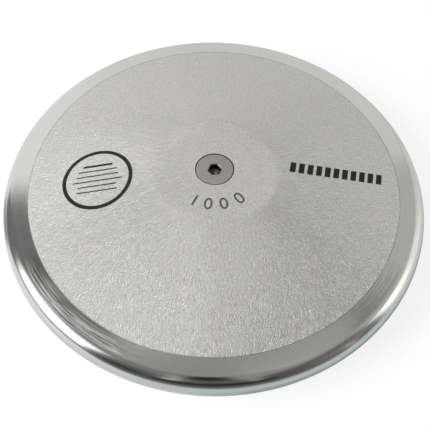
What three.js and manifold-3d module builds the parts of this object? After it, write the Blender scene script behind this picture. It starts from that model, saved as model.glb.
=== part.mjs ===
// A 1 kg throwing discus made of steel. A turned rim carries a pressed plate on each
// side, and a threaded core in the middle holds both plates by one screw each.
// Millimetres. The origin is the discus's centre and +Z is its spin axis.
import * as THREE from "three";
import { mergeVertices } from "three/addons/utils/BufferGeometryUtils.js";
import Module from "manifold-3d";

const wasm = await Module();
wasm.setup();

// Outer form: two flat centres, straight tapers and a rounded nose.
const outerDiameter = 181;
const centreThickness = 37;
const flatDiameter = 53;
const noseRadius = 6.5;

// Side plates, pressed from sheet.
const plateThickness = 1;
const bendRadius = 18;

// Rim: the face outside each plate, a ledge under the plate's edge and a groove in the bore.
const rimFaceWidth = 11.45;
const ledgeWidth = 4.5;
const lipThickness = 2.6;
const grooveDepth = 6.1;
const grooveFillet = 2;

// Core: a flange behind each flat centre and a threaded sleeve between the two.
const flangeDiameter = 46;
const flangeThickness = 2;
const bossDiameter = 24;
const bossHeight = 4;
const bossFillet = 1.5;
const sleeveDiameter = 18;
const sleeveChamfer = 0.8;

// Countersunk M8 screws with a hexagon socket; a turn is from +X to one of its corners.
const screwDiameter = 8;
const screwLength = 16;
const headDiameter = 15.6;
const headLand = 0.5;
const headRecess = 0.15;
const shankChamfer = 1;
const socketSides = 6;
const socketWidth = 5;
const socketDepth = 3;
const drillPointDepth = 1.2;
const upperSocketTurn = THREE.MathUtils.degToRad(10.6);
const lowerSocketTurn = THREE.MathUtils.degToRad(38);

// Clearances and edges.
const seatGap = 0.3;
const edgeGap = 0.3;
const headGap = 0.35;
const threadGap = 0.3;
const edgeBreak = 0.2;
const cutOverrun = 1;

// How finely round forms are drawn.
const largeRoundSides = 96;
const smallRoundSides = 40;
const noseSteps = 12;
const bendSteps = 3;
const filletSteps = 2;

const quarterTurn = Math.PI / 2;
const outerRadius = outerDiameter / 2;
const halfThickness = centreThickness / 2;
const flatRadius = flatDiameter / 2;
const recessRadius = outerRadius - rimFaceWidth;
const plateRadius = recessRadius - edgeGap;
const noseCentre = outerRadius - noseRadius;

// The taper is the line from the flat's edge that just touches the nose's circle.
const flatToNose = noseCentre - flatRadius;
const taperAngle =
  Math.atan2(halfThickness, flatToNose) -
  Math.asin(noseRadius / Math.hypot(flatToNose, halfThickness));

const headRadius = headDiameter / 2;
const screwRadius = screwDiameter / 2;
const sleeveHoleRadius = screwRadius + threadGap;
const flangeTop = halfThickness - plateThickness - seatGap;
const sleeveTop = flangeTop - bossHeight - seatGap;
const headTop = halfThickness - headRecess;
const coneTop = headTop - headLand;

const zincPlate = new THREE.MeshStandardMaterial({ color: "#bdbdba", roughness: 0.5, metalness: 0.9 });
const turnedSteel = new THREE.MeshStandardMaterial({ color: "#c4c6c3", roughness: 0.22, metalness: 1 });
const coreSteel = new THREE.MeshStandardMaterial({ color: "#9a9c9c", roughness: 0.4, metalness: 1 });
const screwSteel = new THREE.MeshStandardMaterial({ color: "#98918b", roughness: 0.35, metalness: 1 });

// Height of the upper face at a radius, sunk by a depth measured square to the taper.
function taperHeight(radius, depth = 0) {
  return halfThickness - (radius - flatRadius) * Math.tan(taperAngle) - depth / Math.cos(taperAngle);
}

// Radius at a height of the countersunk hole under a screw's head, in plate and flange.
function sinkRadius(height) {
  const depthInCone = Math.max(0, coneTop - height);
  return Math.max(sleeveHoleRadius, headRadius + headGap - depthInCone);
}

// Points of an arc in the (radius, height) plane, its two ends included.
function arc(centre, radius, startAngle, endAngle, steps) {
  return Array.from({ length: steps + 1 }, (_, step) => {
    const angle = startAngle + ((endAngle - startAngle) * step) / steps;
    return [centre[0] + radius * Math.cos(angle), centre[1] + radius * Math.sin(angle)];
  });
}

// The same outline on the lower side, in the order that keeps it running anticlockwise.
function mirrored(outline) {
  return outline.map(([radius, height]) => [radius, -height]).reverse();
}

// Turns an anticlockwise outline of (radius, height) points about +Z.
function turned(outline, sides, closed = true) {
  const points = outline.map(([radius, height]) => new THREE.Vector2(radius, height));
  if (closed) points.push(points[0].clone());
  return new THREE.LatheGeometry(points, sides).rotateX(quarterTurn);
}

function solidOf(geometry) {
  const bare = geometry.clone();
  bare.deleteAttribute("normal");
  bare.deleteAttribute("uv");
  const merged = mergeVertices(bare);
  return new wasm.Manifold(
    new wasm.Mesh({
      numProp: 3,
      vertProperties: merged.attributes.position.array,
      triVerts: new Uint32Array(merged.index.array),
    }),
  );
}

function geometryOf(solid) {
  const mesh = solid.getMesh();
  return new THREE.BufferGeometry()
    .setAttribute("position", new THREE.BufferAttribute(mesh.vertProperties, 3))
    .setIndex(new THREE.BufferAttribute(mesh.triVerts, 1));
}

// Rim: nose, the ends of both tapers, a recess for each plate and the groove in the bore.
function rimGeometry() {
  const lipRadius = recessRadius - ledgeWidth;
  const ledgeDepth = plateThickness + seatGap;
  const grooveRadius = lipRadius + grooveDepth;
  const grooveHalfHeight = taperHeight(lipRadius, ledgeDepth) - lipThickness;
  const filletCentre = [grooveRadius - grooveFillet, grooveHalfHeight - grooveFillet];
  const noseAngle = quarterTurn - taperAngle;
  const nose = arc([noseCentre, 0], noseRadius, -noseAngle, noseAngle, noseSteps);
  const upperHalf = [
    [recessRadius + edgeBreak, taperHeight(recessRadius + edgeBreak)],
    [recessRadius, taperHeight(recessRadius) - edgeBreak],
    [recessRadius, taperHeight(recessRadius, ledgeDepth)],
    [lipRadius, taperHeight(lipRadius, ledgeDepth)],
    [lipRadius, grooveHalfHeight],
    ...arc(filletCentre, grooveFillet, quarterTurn, 0, filletSteps),
  ];
  return turned([...nose, ...upperHalf, ...mirrored(upperHalf)], largeRoundSides);
}

// Side plate, drawn as the upper one: flat centre, bend, taper and countersunk hole.
function plateGeometry() {
  const bendInset = bendRadius * Math.tan(taperAngle / 2);
  const bendCentre = [flatRadius - bendInset, halfThickness - bendRadius];
  const slopeStart = quarterTurn - taperAngle;
  const underside = halfThickness - plateThickness;
  const outline = [
    [sinkRadius(underside), underside],
    ...arc(bendCentre, bendRadius - plateThickness, quarterTurn, slopeStart, bendSteps),
    [plateRadius, taperHeight(plateRadius, plateThickness)],
    [plateRadius, taperHeight(plateRadius) - edgeBreak],
    [plateRadius - edgeBreak, taperHeight(plateRadius - edgeBreak)],
    ...arc(bendCentre, bendRadius, slopeStart, quarterTurn, bendSteps),
    [sinkRadius(halfThickness), halfThickness],
    [sinkRadius(coneTop), coneTop],
  ];
  return turned(outline, largeRoundSides);
}

// Core flange, drawn as the upper one: it backs the flat centre and takes the head's cone.
function flangeGeometry() {
  const flangeRadius = flangeDiameter / 2;
  const bossRadius = bossDiameter / 2;
  const bossBottom = flangeTop - bossHeight;
  const flangeBottom = flangeTop - flangeThickness;
  const coneBottom = coneTop - (headRadius + headGap - sleeveHoleRadius);
  const filletCentre = [bossRadius + bossFillet, flangeBottom - bossFillet];
  const outline = [
    [sleeveHoleRadius, bossBottom],
    [bossRadius, bossBottom],
    ...arc(filletCentre, bossFillet, Math.PI, quarterTurn, filletSteps),
    [flangeRadius - edgeBreak, flangeBottom],
    [flangeRadius, flangeBottom + edgeBreak],
    [flangeRadius, flangeTop - edgeBreak],
    [flangeRadius - edgeBreak, flangeTop],
    [sinkRadius(flangeTop), flangeTop],
    [sleeveHoleRadius, coneBottom],
  ];
  return turned(outline, smallRoundSides);
}

// Threaded sleeve that both screws pull on; its thread is drawn as a plain bore.
function sleeveGeometry() {
  const sleeveRadius = sleeveDiameter / 2;
  const upperHalf = [
    [sleeveRadius, sleeveTop - edgeBreak],
    [sleeveRadius - edgeBreak, sleeveTop],
    [sleeveHoleRadius + sleeveChamfer, sleeveTop],
    [sleeveHoleRadius, sleeveTop - sleeveChamfer],
  ];
  return turned([...upperHalf, ...mirrored(upperHalf)], smallRoundSides);
}

// Countersunk screw, drawn as the upper one, with its hexagon socket cut in from the head.
function screwGeometry(socketTurn) {
  const shankEnd = headTop - screwLength;
  const outline = [
    [0, shankEnd],
    [screwRadius - shankChamfer, shankEnd],
    [screwRadius, shankEnd + shankChamfer],
    [screwRadius, coneTop - (headRadius - screwRadius)],
    [headRadius, coneTop],
    [headRadius, headTop - edgeBreak],
    [headRadius - edgeBreak, headTop],
    [0, headTop],
  ];
  const body = solidOf(turned(outline, smallRoundSides, false));
  const cornerRadius = socketWidth / 2 / Math.cos(Math.PI / socketSides);
  const prismHeight = socketDepth + cutOverrun;
  const prism = new THREE.CylinderGeometry(cornerRadius, cornerRadius, prismHeight, socketSides)
    .rotateX(quarterTurn)
    .rotateZ(quarterTurn + socketTurn)
    .translate(0, 0, headTop + cutOverrun - prismHeight / 2);
  const drillRadius = socketWidth / 2;
  const drillPoint = new THREE.CylinderGeometry(drillRadius, 0, drillPointDepth, smallRoundSides)
    .rotateX(quarterTurn)
    .translate(0, 0, headTop - socketDepth - drillPointDepth / 2);
  return geometryOf(body.subtract(solidOf(prism)).subtract(solidOf(drillPoint)));
}

function named(name, geometry, material) {
  const mesh = new THREE.Mesh(geometry, material);
  mesh.name = name;
  return mesh;
}

// One side's pieces, drawn facing up; the lower side is the same set turned over.
function side(name, socketTurn) {
  const pieces = new THREE.Group();
  pieces.add(
    named(`${name}_side_plate`, plateGeometry(), zincPlate),
    named(`${name}_core_flange`, flangeGeometry(), coreSteel),
    named(`${name}_centre_screw`, screwGeometry(socketTurn), screwSteel),
  );
  return pieces;
}

const discus = new THREE.Group();
const upperSide = side("upper", upperSocketTurn);
const lowerSide = side("lower", lowerSocketTurn);
lowerSide.rotation.x = Math.PI;
discus.add(
  named("rim", rimGeometry(), turnedSteel),
  named("core_sleeve", sleeveGeometry(), coreSteel),
  upperSide,
  lowerSide,
);

export default discus;
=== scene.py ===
"""Looks of a 1 kg steel throwing discus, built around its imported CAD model.

A turned rim carries a pressed, zinc-plated plate on each side, and a threaded core holds both
plates by one countersunk screw each. Everything is in metres, in the CAD model's frame: the
origin is the discus's centre and +Z is its spin axis.
"""
import logging
import math
from collections.abc import Callable, Mapping, Sequence
from dataclasses import dataclass, field
from enum import Enum

import bmesh
import bpy
from mathutils import Matrix, Vector


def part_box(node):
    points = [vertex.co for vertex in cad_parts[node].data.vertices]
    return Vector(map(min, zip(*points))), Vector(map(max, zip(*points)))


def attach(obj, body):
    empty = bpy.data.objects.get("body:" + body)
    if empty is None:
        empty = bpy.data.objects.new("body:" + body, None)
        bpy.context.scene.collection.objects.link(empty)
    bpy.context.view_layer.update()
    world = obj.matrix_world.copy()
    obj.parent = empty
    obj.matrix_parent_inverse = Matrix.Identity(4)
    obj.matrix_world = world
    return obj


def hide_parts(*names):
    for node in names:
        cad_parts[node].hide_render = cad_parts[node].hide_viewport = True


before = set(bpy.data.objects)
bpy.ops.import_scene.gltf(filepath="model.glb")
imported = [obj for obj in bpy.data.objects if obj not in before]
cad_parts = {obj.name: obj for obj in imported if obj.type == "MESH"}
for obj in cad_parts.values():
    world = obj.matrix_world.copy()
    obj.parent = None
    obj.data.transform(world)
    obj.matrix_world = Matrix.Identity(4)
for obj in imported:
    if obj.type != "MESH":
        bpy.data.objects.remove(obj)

LOG = logging.getLogger("discus")
MM = 0.001
WELD_DISTANCE = 0.001 * MM
CORNER_REACH = 5 * WELD_DISTANCE
SUPPORT_WIDTH = 0.04 * MM
SUPPORT_SEGMENTS = 2
ROUND_SEGMENTS = 3
SMOOTH_ANGLE = math.radians(25)
HEXAGON_SIDES = 6
NOISE_RANGE = (0.3, 0.7)
WHITE = "#ffffff"
ROOT_BODY = "root"

Point = tuple[float, float]
Colour = tuple[float, float, float, float]
Tree = bpy.types.ShaderNodeTree
Socket = bpy.types.NodeSocket
Piece = bpy.types.Object
Material = bpy.types.Material


class Side(Enum):
    """The two faces of the discus."""

    UPPER = "upper"
    LOWER = "lower"


def linear(hex_colour: str) -> Colour:
    """Turns an sRGB hex colour into the linear colour that a socket takes.

    Args:
        hex_colour: A colour such as "#c8c9c6".

    Returns:
        Linear red, green and blue, with full alpha.
    """
    channels = [int(hex_colour[start : start + 2], 16) / 255 for start in (1, 3, 5)]
    red, green, blue = (c / 12.92 if c <= 0.04045 else ((c + 0.055) / 1.055) ** 2.4 for c in channels)
    return red, green, blue, 1.0


def add_node(
    tree: Tree, kind: str, inputs: Mapping[str | int, object] | Sequence[object] = (), **settings: object
) -> Mapping[str | int, Socket]:
    """Adds a node with its settings, and sets or links its inputs.

    Args:
        tree: The node tree that gets the node.
        kind: The node's type, such as "ShaderNodeTexNoise".
        inputs: Values for its sockets, by name or number or else in order; a socket given as a
            value is linked.
        settings: The node's own options.

    Returns:
        The node's outputs.
    """
    node = tree.nodes.new(kind)
    for name, value in settings.items():
        setattr(node, name, value)
    for name, value in inputs.items() if isinstance(inputs, Mapping) else enumerate(inputs):
        if isinstance(value, Socket):
            tree.links.new(value, node.inputs[name])
        else:
            node.inputs[name].default_value = value
    return node.outputs


def select_only(piece: Piece) -> None:
    """Makes one object the only selected one and the active one.

    Args:
        piece: The object.
    """
    bpy.ops.object.select_all(action="DESELECT")
    piece.select_set(True)
    bpy.context.view_layer.objects.active = piece


def apply_place(piece: Piece) -> None:
    """Moves an object's place, turn and scale into its mesh."""
    select_only(piece)
    bpy.ops.object.transform_apply(location=True, rotation=True, scale=True)


def added(primitive: Callable[..., object], name: str, **sizes: object) -> Piece:
    """Adds a primitive with nothing else selected, and moves its place into its mesh.

    Args:
        primitive: The operator that adds it.
        name: The new piece's name.
        sizes: The operator's own settings.

    Returns:
        The piece, selected and active.
    """
    bpy.ops.object.select_all(action="DESELECT")
    primitive(**sizes)
    piece = bpy.context.object
    piece.name = piece.data.name = name
    apply_place(piece)
    return piece


def copy_of(piece: Piece, name: str) -> Piece:
    """Copies an object together with its mesh.

    Args:
        piece: The object to copy.
        name: The copy's name.

    Returns:
        The copy, selected and active.
    """
    select_only(piece)
    bpy.ops.object.duplicate(linked=False)
    copy = bpy.context.object
    copy.name = copy.data.name = name
    return copy


def turn_over(piece: Piece) -> None:
    """Turns an upper piece to the lower side, as the CAD model does, by a half turn about X."""
    piece.rotation_euler.x = math.pi
    apply_place(piece)


def modify(piece: Piece, kind: str, **settings: object) -> None:
    """Adds a modifier, sets it and applies it.

    Args:
        piece: The object that gets it.
        kind: The modifier's type, such as "SOLIDIFY".
        settings: The modifier's own settings.
    """
    select_only(piece)
    bpy.ops.object.modifier_add(type=kind)
    modifier = piece.modifiers[-1]
    for name, value in settings.items():
        setattr(modifier, name, value)
    bpy.ops.object.modifier_apply(modifier=modifier.name)


def cut(piece: Piece, cutter: Piece) -> None:
    """Cuts a solid out of a piece and deletes the cutter."""
    modify(piece, "BOOLEAN", operation="DIFFERENCE", solver="EXACT", object=cutter)
    bpy.data.objects.remove(cutter)


def smooth(piece: Piece) -> None:
    """Shades a piece smooth, apart from its sharp edges."""
    select_only(piece)
    bpy.ops.object.shade_smooth_by_angle(angle=SMOOTH_ANGLE)


def weld_all() -> None:
    """Merges the vertices in edit mode that lie in one place, and leaves everything selected."""
    bpy.ops.mesh.select_all(action="SELECT")
    bpy.ops.mesh.remove_doubles(threshold=WELD_DISTANCE)
    bpy.ops.mesh.select_all(action="SELECT")


class Lathe:
    """Draws an outline of (radius, height) points in edit mode and turns it about Z."""

    def __init__(self, name: str, start: Point) -> None:
        """Starts a piece with one vertex, which is a small plane drawn together.

        Args:
            name: The piece's name.
            start: The outline's first point.
        """
        location = (start[0], 0, start[1])
        self.piece = added(bpy.ops.mesh.primitive_plane_add, name, size=MM, location=location)
        bpy.ops.object.mode_set(mode="EDIT")
        bpy.ops.mesh.select_mode(type="VERT")
        bpy.ops.mesh.select_all(action="SELECT")
        bpy.ops.mesh.merge(type="CENTER")
        self.start = start
        self.pen = start

    def line(self, *corners: Point) -> None:
        """Draws straight lines from the pen's place.

        Args:
            corners: The lines' ends, in order.
        """
        for corner in corners:
            step = (corner[0] - self.pen[0], 0, corner[1] - self.pen[1])
            bpy.ops.mesh.extrude_vertices_move(TRANSFORM_OT_translate={"value": step})
            self.pen = corner

    def arc(self, centre: Point, sweep: float, steps: int) -> None:
        """Draws an arc from the pen's place.

        Args:
            centre: The arc's centre.
            sweep: The angle that it covers, anticlockwise if positive.
            steps: How many edges it gets.
        """
        bpy.ops.mesh.spin(steps=steps, angle=sweep, center=(centre[0], 0, centre[1]), axis=(0, 1, 0))
        across, up = self.pen[0] - centre[0], self.pen[1] - centre[1]
        self.pen = (
            centre[0] + across * math.cos(sweep) - up * math.sin(sweep),
            centre[1] + across * math.sin(sweep) + up * math.cos(sweep),
        )

    def turn(self, sides: int, round_off: Mapping[Point, float]) -> Piece:
        """Closes the outline, turns it all the way round Z and rounds the edges that are named.

        Args:
            sides: How many steps the turn has.
            round_off: Corners of the outline with the radius that each gets.

        Returns:
            The turned piece, in object mode.
        """
        if math.dist(self.pen, self.start) > WELD_DISTANCE and self.start[0] > 0:
            self.line(self.start)
        weld_all()
        bpy.ops.mesh.spin(steps=sides, angle=math.tau, center=(0, 0, 0), axis=(0, 0, 1))
        weld_all()
        bpy.ops.mesh.normals_make_consistent(inside=False)
        for corner, radius in round_off.items():
            self._select_ring(corner)
            offset = radius + SUPPORT_WIDTH
            bpy.ops.mesh.bevel(offset=offset, segments=SUPPORT_SEGMENTS, profile=1.0, affect="EDGES")
            self._select_ring(corner)
            bpy.ops.mesh.bevel(offset=radius, segments=ROUND_SEGMENTS, affect="EDGES")
        bpy.ops.object.mode_set(mode="OBJECT")
        return self.piece

    def _select_ring(self, corner: Point) -> None:
        """Selects the round edge that a corner of the outline has become.

        Args:
            corner: The corner.
        """
        bpy.ops.mesh.select_all(action="DESELECT")
        bpy.ops.mesh.select_mode(type="EDGE")
        mesh = bmesh.from_edit_mesh(self.piece.data)
        for edge in mesh.edges:
            places = [(math.hypot(vert.co.x, vert.co.y), vert.co.z) for vert in edge.verts]
            edge.select_set(all(math.dist(place, corner) < CORNER_REACH for place in places))
        bmesh.update_edit_mesh(self.piece.data)


@dataclass(frozen=True)
class DiscusForm:
    """The outer form that the rim and both plates share, and the seats under a screw's head."""

    outer_radius: float
    half_thickness: float
    plate_radius: float
    head_radius: float
    head_top: float
    flat_radius: float = 26.5 * MM
    nose_radius: float = 6.5 * MM
    plate_thickness: float = 1 * MM
    seat_gap: float = 0.3 * MM
    edge_gap: float = 0.1 * MM
    head_gap: float = 0.35 * MM
    head_land: float = 0.5 * MM
    screw_radius: float = 4 * MM
    thread_gap: float = 0.3 * MM
    edge_round: float = 0.12 * MM

    @classmethod
    def from_frame(cls) -> "DiscusForm":
        """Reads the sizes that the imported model's boxes give.

        Returns:
            The form.
        """
        plate_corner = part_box("upper_side_plate")[1]
        screw_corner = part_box("upper_centre_screw")[1]
        return cls(
            outer_radius=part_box("rim")[1].x,
            half_thickness=plate_corner.z,
            plate_radius=plate_corner.x,
            head_radius=screw_corner.x,
            head_top=screw_corner.z,
        )

    @property
    def nose_centre(self) -> float:
        """Radius at which the rounded nose has its centre."""
        return self.outer_radius - self.nose_radius

    @property
    def taper(self) -> float:
        """Slope of both tapers, which run from the flat's edge and just touch the nose.

        Returns:
            The angle, in radians.
        """
        run = self.nose_centre - self.flat_radius
        lean = math.atan2(self.half_thickness, run)
        return lean - math.asin(self.nose_radius / math.hypot(run, self.half_thickness))

    @property
    def recess_radius(self) -> float:
        """Radius of the rim's recess, which clears the plate's edge."""
        return self.plate_radius + self.edge_gap

    @property
    def cone_top(self) -> float:
        """Height at which a screw head's cone starts."""
        return self.head_top - self.head_land

    @property
    def hole_radius(self) -> float:
        """Radius of the plain holes that a screw passes through."""
        return self.screw_radius + self.thread_gap

    def taper_height(self, radius: float, depth: float = 0.0) -> float:
        """Height of the upper taper at a radius, sunk by a depth square to it."""
        drop = (radius - self.flat_radius) * math.tan(self.taper)
        return self.half_thickness - drop - depth / math.cos(self.taper)

    def sink_radius(self, height: float) -> float:
        """Radius of the countersink at a height, in plate and flange alike."""
        depth_in_cone = max(0.0, self.cone_top - height)
        return max(self.hole_radius, self.head_radius + self.head_gap - depth_in_cone)


class RoundPlace:
    """Sockets that say where a point of a turned part lies, worked out from Object coordinates."""

    def __init__(self, tree: Tree) -> None:
        """Adds the nodes.

        Args:
            tree: The material's node tree.
        """
        self.tree = tree
        self.position = add_node(tree, "ShaderNodeTexCoord")["Object"]
        split = add_node(tree, "ShaderNodeSeparateXYZ", (self.position,))
        level = add_node(tree, "ShaderNodeCombineXYZ", (split["X"], split["Y"]))[0]
        self.height = split["Z"]
        self.radius = add_node(tree, "ShaderNodeVectorMath", (level,), operation="LENGTH")["Value"]
        self.bearing = add_node(tree, "ShaderNodeVectorMath", (level,), operation="NORMALIZE")["Vector"]

    def toward(self, bearing: float) -> Socket:
        """How near the point's own bearing is to another.

        Args:
            bearing: The other bearing, in degrees from +X.

        Returns:
            The cosine of the angle between the two.
        """
        direction = (math.cos(math.radians(bearing)), math.sin(math.radians(bearing)), 0.0)
        inputs = (self.bearing, direction)
        return add_node(self.tree, "ShaderNodeVectorMath", inputs, operation="DOT_PRODUCT")["Value"]

    def stretched(self, around: float, along: float, at_radius: float, swirl: float = 0.0) -> Socket:
        """A vector for a texture whose cells are longer one way than the other.

        Args:
            around: Size of a cell round the axis, at the given radius.
            along: Size of a cell along the radius.
            at_radius: The radius at which the first size holds.
            swirl: How far the cells lean away from the radius there, in radians.

        Returns:
            The vector socket, for a texture with a scale of 1.
        """
        tree, lean = self.tree, math.tan(swirl) / at_radius
        angle = add_node(tree, "ShaderNodeMath", (self.radius, lean), operation="MULTIPLY")[0]
        inputs = {"Vector": self.bearing, "Angle": angle}
        spiral = add_node(tree, "ShaderNodeVectorRotate", inputs, rotation_type="Z_AXIS")[0]
        inputs = {0: spiral, "Scale": at_radius / around}
        ring = add_node(tree, "ShaderNodeVectorMath", inputs, operation="SCALE")[0]
        outward = add_node(tree, "ShaderNodeMath", (self.radius, 1 / along), operation="MULTIPLY")[0]
        rise = add_node(tree, "ShaderNodeCombineXYZ", {"Z": outward})[0]
        return add_node(tree, "ShaderNodeVectorMath", (ring, rise), operation="ADD")["Vector"]

    def lathe_marks(self, length: float, spacing: float, at_radius: float, detail: float) -> Socket:
        """Noise drawn out round the axis, as fine on steep faces as on flat ones.

        Args:
            length: Length of a mark, at the given radius.
            spacing: Distance from one mark to the next.
            at_radius: The radius at which the length holds.
            detail: How many finer layers the noise has.

        Returns:
            A value of about 0.5 in the middle.
        """
        layer = add_node(self.tree, "ShaderNodeMath", (self.height, 1 / spacing), operation="MULTIPLY")[0]
        vector = self.stretched(length, spacing, at_radius)
        inputs = {"Vector": vector, "W": layer, "Scale": 1.0, "Detail": detail}
        return add_node(self.tree, "ShaderNodeTexNoise", inputs, noise_dimensions="4D")["Fac"]


def new_material(name: str) -> Material:
    """Makes a material with an empty node tree.

    Args:
        name: The material's name.

    Returns:
        The material.
    """
    material = bpy.data.materials.new(name)
    material.use_nodes = True
    material.node_tree.nodes.clear()
    return material


def layered(tree: Tree, base: str, *coats: tuple[Socket, str | Socket]) -> Socket:
    """Lays coats of colour over a base colour, each one over those before it.

    Args:
        tree: The node tree.
        base: The base colour, in sRGB hex.
        coats: Each coat's share and its colour, in sRGB hex or as a socket.

    Returns:
        The colour.
    """
    colour = linear(base)
    for share, coat in coats:
        inputs = {0: share, 6: colour, 7: linear(coat) if isinstance(coat, str) else coat}
        colour = add_node(tree, "ShaderNodeMix", inputs, data_type="RGBA")[2]
    return colour


def add_surface(
    tree: Tree, surface: Mapping[str, object], relief: Socket | None = None, depth: float = 0.0
) -> None:
    """Ends a finish with its Principled shader.

    Args:
        tree: The material's node tree.
        surface: The shader's inputs.
        relief: The height of the finish's relief, from 0 to 1.
        depth: How deep the relief is.
    """
    if relief is not None:
        inputs = {"Strength": 1.0, "Distance": depth, "Height": relief}
        surface = {**surface, "Normal": add_node(tree, "ShaderNodeBump", inputs)[0]}
    shader = add_node(tree, "ShaderNodeBsdfPrincipled", surface)[0]
    add_node(tree, "ShaderNodeOutputMaterial", {"Surface": shader})


@dataclass(frozen=True)
class TurnedSteelFinish:
    """Free-cutting steel, turned and then polished with an abrasive held against the spinning rim.

    The eye gets near mirror images of the studio, combed into fine rings, and bright scratches
    with painted shade between them: the colour is darker there, so that the lines stand out like
    glints. Real rings are finer, and these are as coarse as they need to be to show. Each
    scratched stretch has a bearing, then its half width in degrees and its share.
    """

    bright: str = "#d4d5d3"
    dull: str = "#cbccca"
    # Painted shade: the colour between the scratches.
    shade_between_scratches: str = "#949594"
    cloud_size: float = 30 * MM
    cloud_detail: float = 2.0
    measured_at: float = 85 * MM
    ring_length: float = 60 * MM
    ring_spacing: float = 0.3 * MM
    ring_detail: float = 2.0
    ring_depth: float = 0.014 * MM
    scratch_length: float = 16 * MM
    scratch_spacing: float = 0.22 * MM
    scratch_range: Point = (0.49, 0.57)
    scratch_radii: Point = (80.5 * MM, 83.5 * MM)
    inner_share: float = 0.1
    scratch_depth: float = 0.013 * MM
    nose_radii: Point = (85 * MM, 86.3 * MM)
    scratched: Mapping[float, Point] = field(default_factory=lambda: {226.0: (22.0, 1.0), 321.0: (14.0, 0.4)})
    roughness: Point = (0.1, 0.18)

    def build(self) -> Material:
        """Makes the material.

        Returns:
            The material.
        """
        material = new_material("turned_polished_steel")
        tree = material.node_tree
        place = RoundPlace(tree)
        rings = place.lathe_marks(self.ring_length, self.ring_spacing, self.measured_at, self.ring_detail)
        lines = place.lathe_marks(self.scratch_length, self.scratch_spacing, self.measured_at, 0.0)
        inputs = {"Vector": place.position, "Scale": 1 / self.cloud_size, "Detail": self.cloud_detail}
        cloud = add_node(tree, "ShaderNodeTexNoise", inputs)["Fac"]
        scored = add_node(tree, "ShaderNodeMapRange", (lines, *self.scratch_range, 0.0, 1.0))[0]
        scratched_and_shaded = self._find_scratches_and_shade(tree, place)
        scratches = add_node(tree, "ShaderNodeMath", (scratched_and_shaded, scored), operation="MULTIPLY")[0]
        # Painted shade: the metal's colour is darker between the scratch lines, so that they read as glints.
        between = add_node(tree, "ShaderNodeMath", (scratched_and_shaded, scratches), operation="SUBTRACT")[0]
        outer = (place.radius, *self.scratch_radii, self.inner_share, 1.0)
        deep = add_node(tree, "ShaderNodeMapRange", outer)[0]
        cuts = add_node(tree, "ShaderNodeMath", (scratches, deep), operation="MULTIPLY")[0]
        share = self.scratch_depth / self.ring_depth
        relief = add_node(tree, "ShaderNodeMath", (cuts, -share, rings), operation="MULTIPLY_ADD")[0]
        colour = layered(tree, self.dull, (cloud, self.bright), (between, self.shade_between_scratches))
        roughness = add_node(tree, "ShaderNodeMapRange", (rings, *NOISE_RANGE, *self.roughness))[0]
        surface = {"Base Color": colour, "Metallic": 1.0, "Roughness": roughness}
        add_surface(tree, surface, relief, self.ring_depth)
        return material

    def _find_scratches_and_shade(self, tree: Tree, place: RoundPlace) -> Socket:
        """Finds the scratched stretches of the rim's face, which also get painted shade, with soft ends.

        Args:
            tree: The material's node tree.
            place: Where a point lies.

        Returns:
            A mask, with each stretch's share inside it.
        """
        mask: Socket | float = 0.0
        for bearing, (half, share) in self.scratched.items():
            ends = (math.cos(math.radians(half)), math.cos(math.radians(half / 2)))
            near = add_node(tree, "ShaderNodeMapRange", (place.toward(bearing), *ends, 0.0, share))[0]
            mask = add_node(tree, "ShaderNodeMath", (mask, near), operation="MAXIMUM")[0]
        face = add_node(tree, "ShaderNodeMapRange", (place.radius, *self.nose_radii, 1.0, 0.0))[0]
        return add_node(tree, "ShaderNodeMath", (mask, face), operation="MULTIPLY")[0]


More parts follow.
